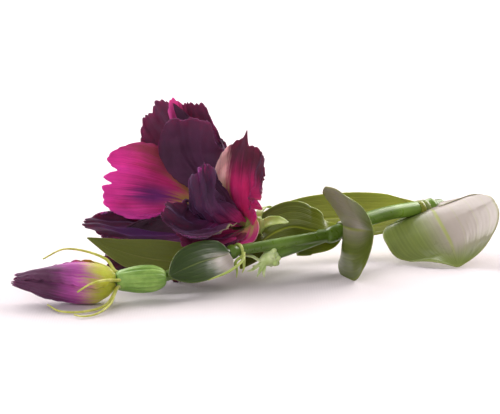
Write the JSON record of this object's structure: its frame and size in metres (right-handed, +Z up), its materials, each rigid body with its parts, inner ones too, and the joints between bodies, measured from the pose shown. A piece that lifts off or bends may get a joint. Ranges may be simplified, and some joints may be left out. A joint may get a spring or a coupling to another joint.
{
  "type": "artificial lisianthus flower",
  "caption": "Artificial lisianthus lying on its side, with a ruffled open bloom, a twisted bud and a small side bud on a forked moulded stem with broad clasping leaves.",
  "frame": {"origin": "on the surface the spray lies on, under the middle of its bounding box", "axes": "+X towards the stem's cut end with the bud towards -X, +Y towards the back of the spray, +Z up from the surface"},
  "size_m": [0.1753, 0.1073, 0.0634],
  "materials": {
    "stem": "smooth moulded green plastic with a soft shine",
    "wire": "dull drawn steel, slightly browned",
    "leaf": "thin moulded sheet with embossed veins, olive to dark green, glossy",
    "petal": "thin printed cloth, yellow-green at the base through magenta to dark plum at the margin, matt with a faint sheen",
    "calyx": "soft moulded lime green plastic, satin"
  },
  "bodies": {
    "root": {"stem_wire": "wire", "stem": "stem", "leaf_low_front": "leaf", "leaf_low_back": "leaf", "leaf_fork_front": "leaf", "leaf_fork_back": "leaf", "leaf_bud_long": "leaf", "leaf_bud_front": "leaf", "branch_bracts": "calyx", "bloom_petals": "petal", "bloom_calyx": "calyx", "bud_petals": "petal", "bud_calyx": "calyx", "side_bud": "calyx"}
  },
  "joints": []
}
